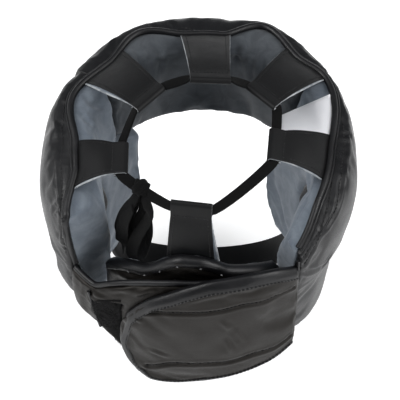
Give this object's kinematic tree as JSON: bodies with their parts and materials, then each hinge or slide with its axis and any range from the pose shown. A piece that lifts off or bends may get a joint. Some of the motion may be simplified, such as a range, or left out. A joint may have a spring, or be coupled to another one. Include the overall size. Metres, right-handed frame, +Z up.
{
  "type": "padded boxing headgear",
  "caption": "Padded leather boxing headgear with ear and cheek guards, laced crown tabs and a wrap-around rear closing flap.",
  "frame": {"origin": "centre of the head opening at brow height, where the wearer's head sits", "axes": "+Z up towards the crown, -Y the way the face looks, +X the wearer's left"},
  "size_m": [0.2406, 0.2532, 0.2714],
  "materials": {
    "shell_leather": "satin black cowhide with fine grain and soft creases",
    "piping_leather": "folded and stitched black leather binding",
    "tab_leather": "thin smooth black leather, stitched edges",
    "lining_suede": "blue-grey brushed suede-like lining",
    "loop_fabric": "matte black loop tape",
    "lace_tape": "flat woven black tape",
    "label_cloth": "bare white woven label"
  },
  "bodies": {
    "root": {"forehead_pad": "shell_leather", "left_side_pad": "shell_leather", "right_side_pad": "shell_leather", "forehead_lining": "lining_suede", "left_lining": "lining_suede", "right_lining": "lining_suede", "nape_pad": "shell_leather", "left_wing": "shell_leather", "loop_patch": "loop_fabric", "right_flap": "shell_leather", "rim_piping": "piping_leather", "wing_piping": "piping_leather", "nape_piping": "piping_leather", "tab_front": "tab_leather", "tab_front_left": "tab_leather", "tab_left": "tab_leather", "tab_rear": "tab_leather", "tab_right": "tab_leather", "tab_front_right": "tab_leather", "crown_lace": "lace_tape", "lace_knot": "lace_tape", "lace_bow": "lace_tape", "size_label": "label_cloth", "chin_strap": "tab_leather"}
  },
  "joints": []
}
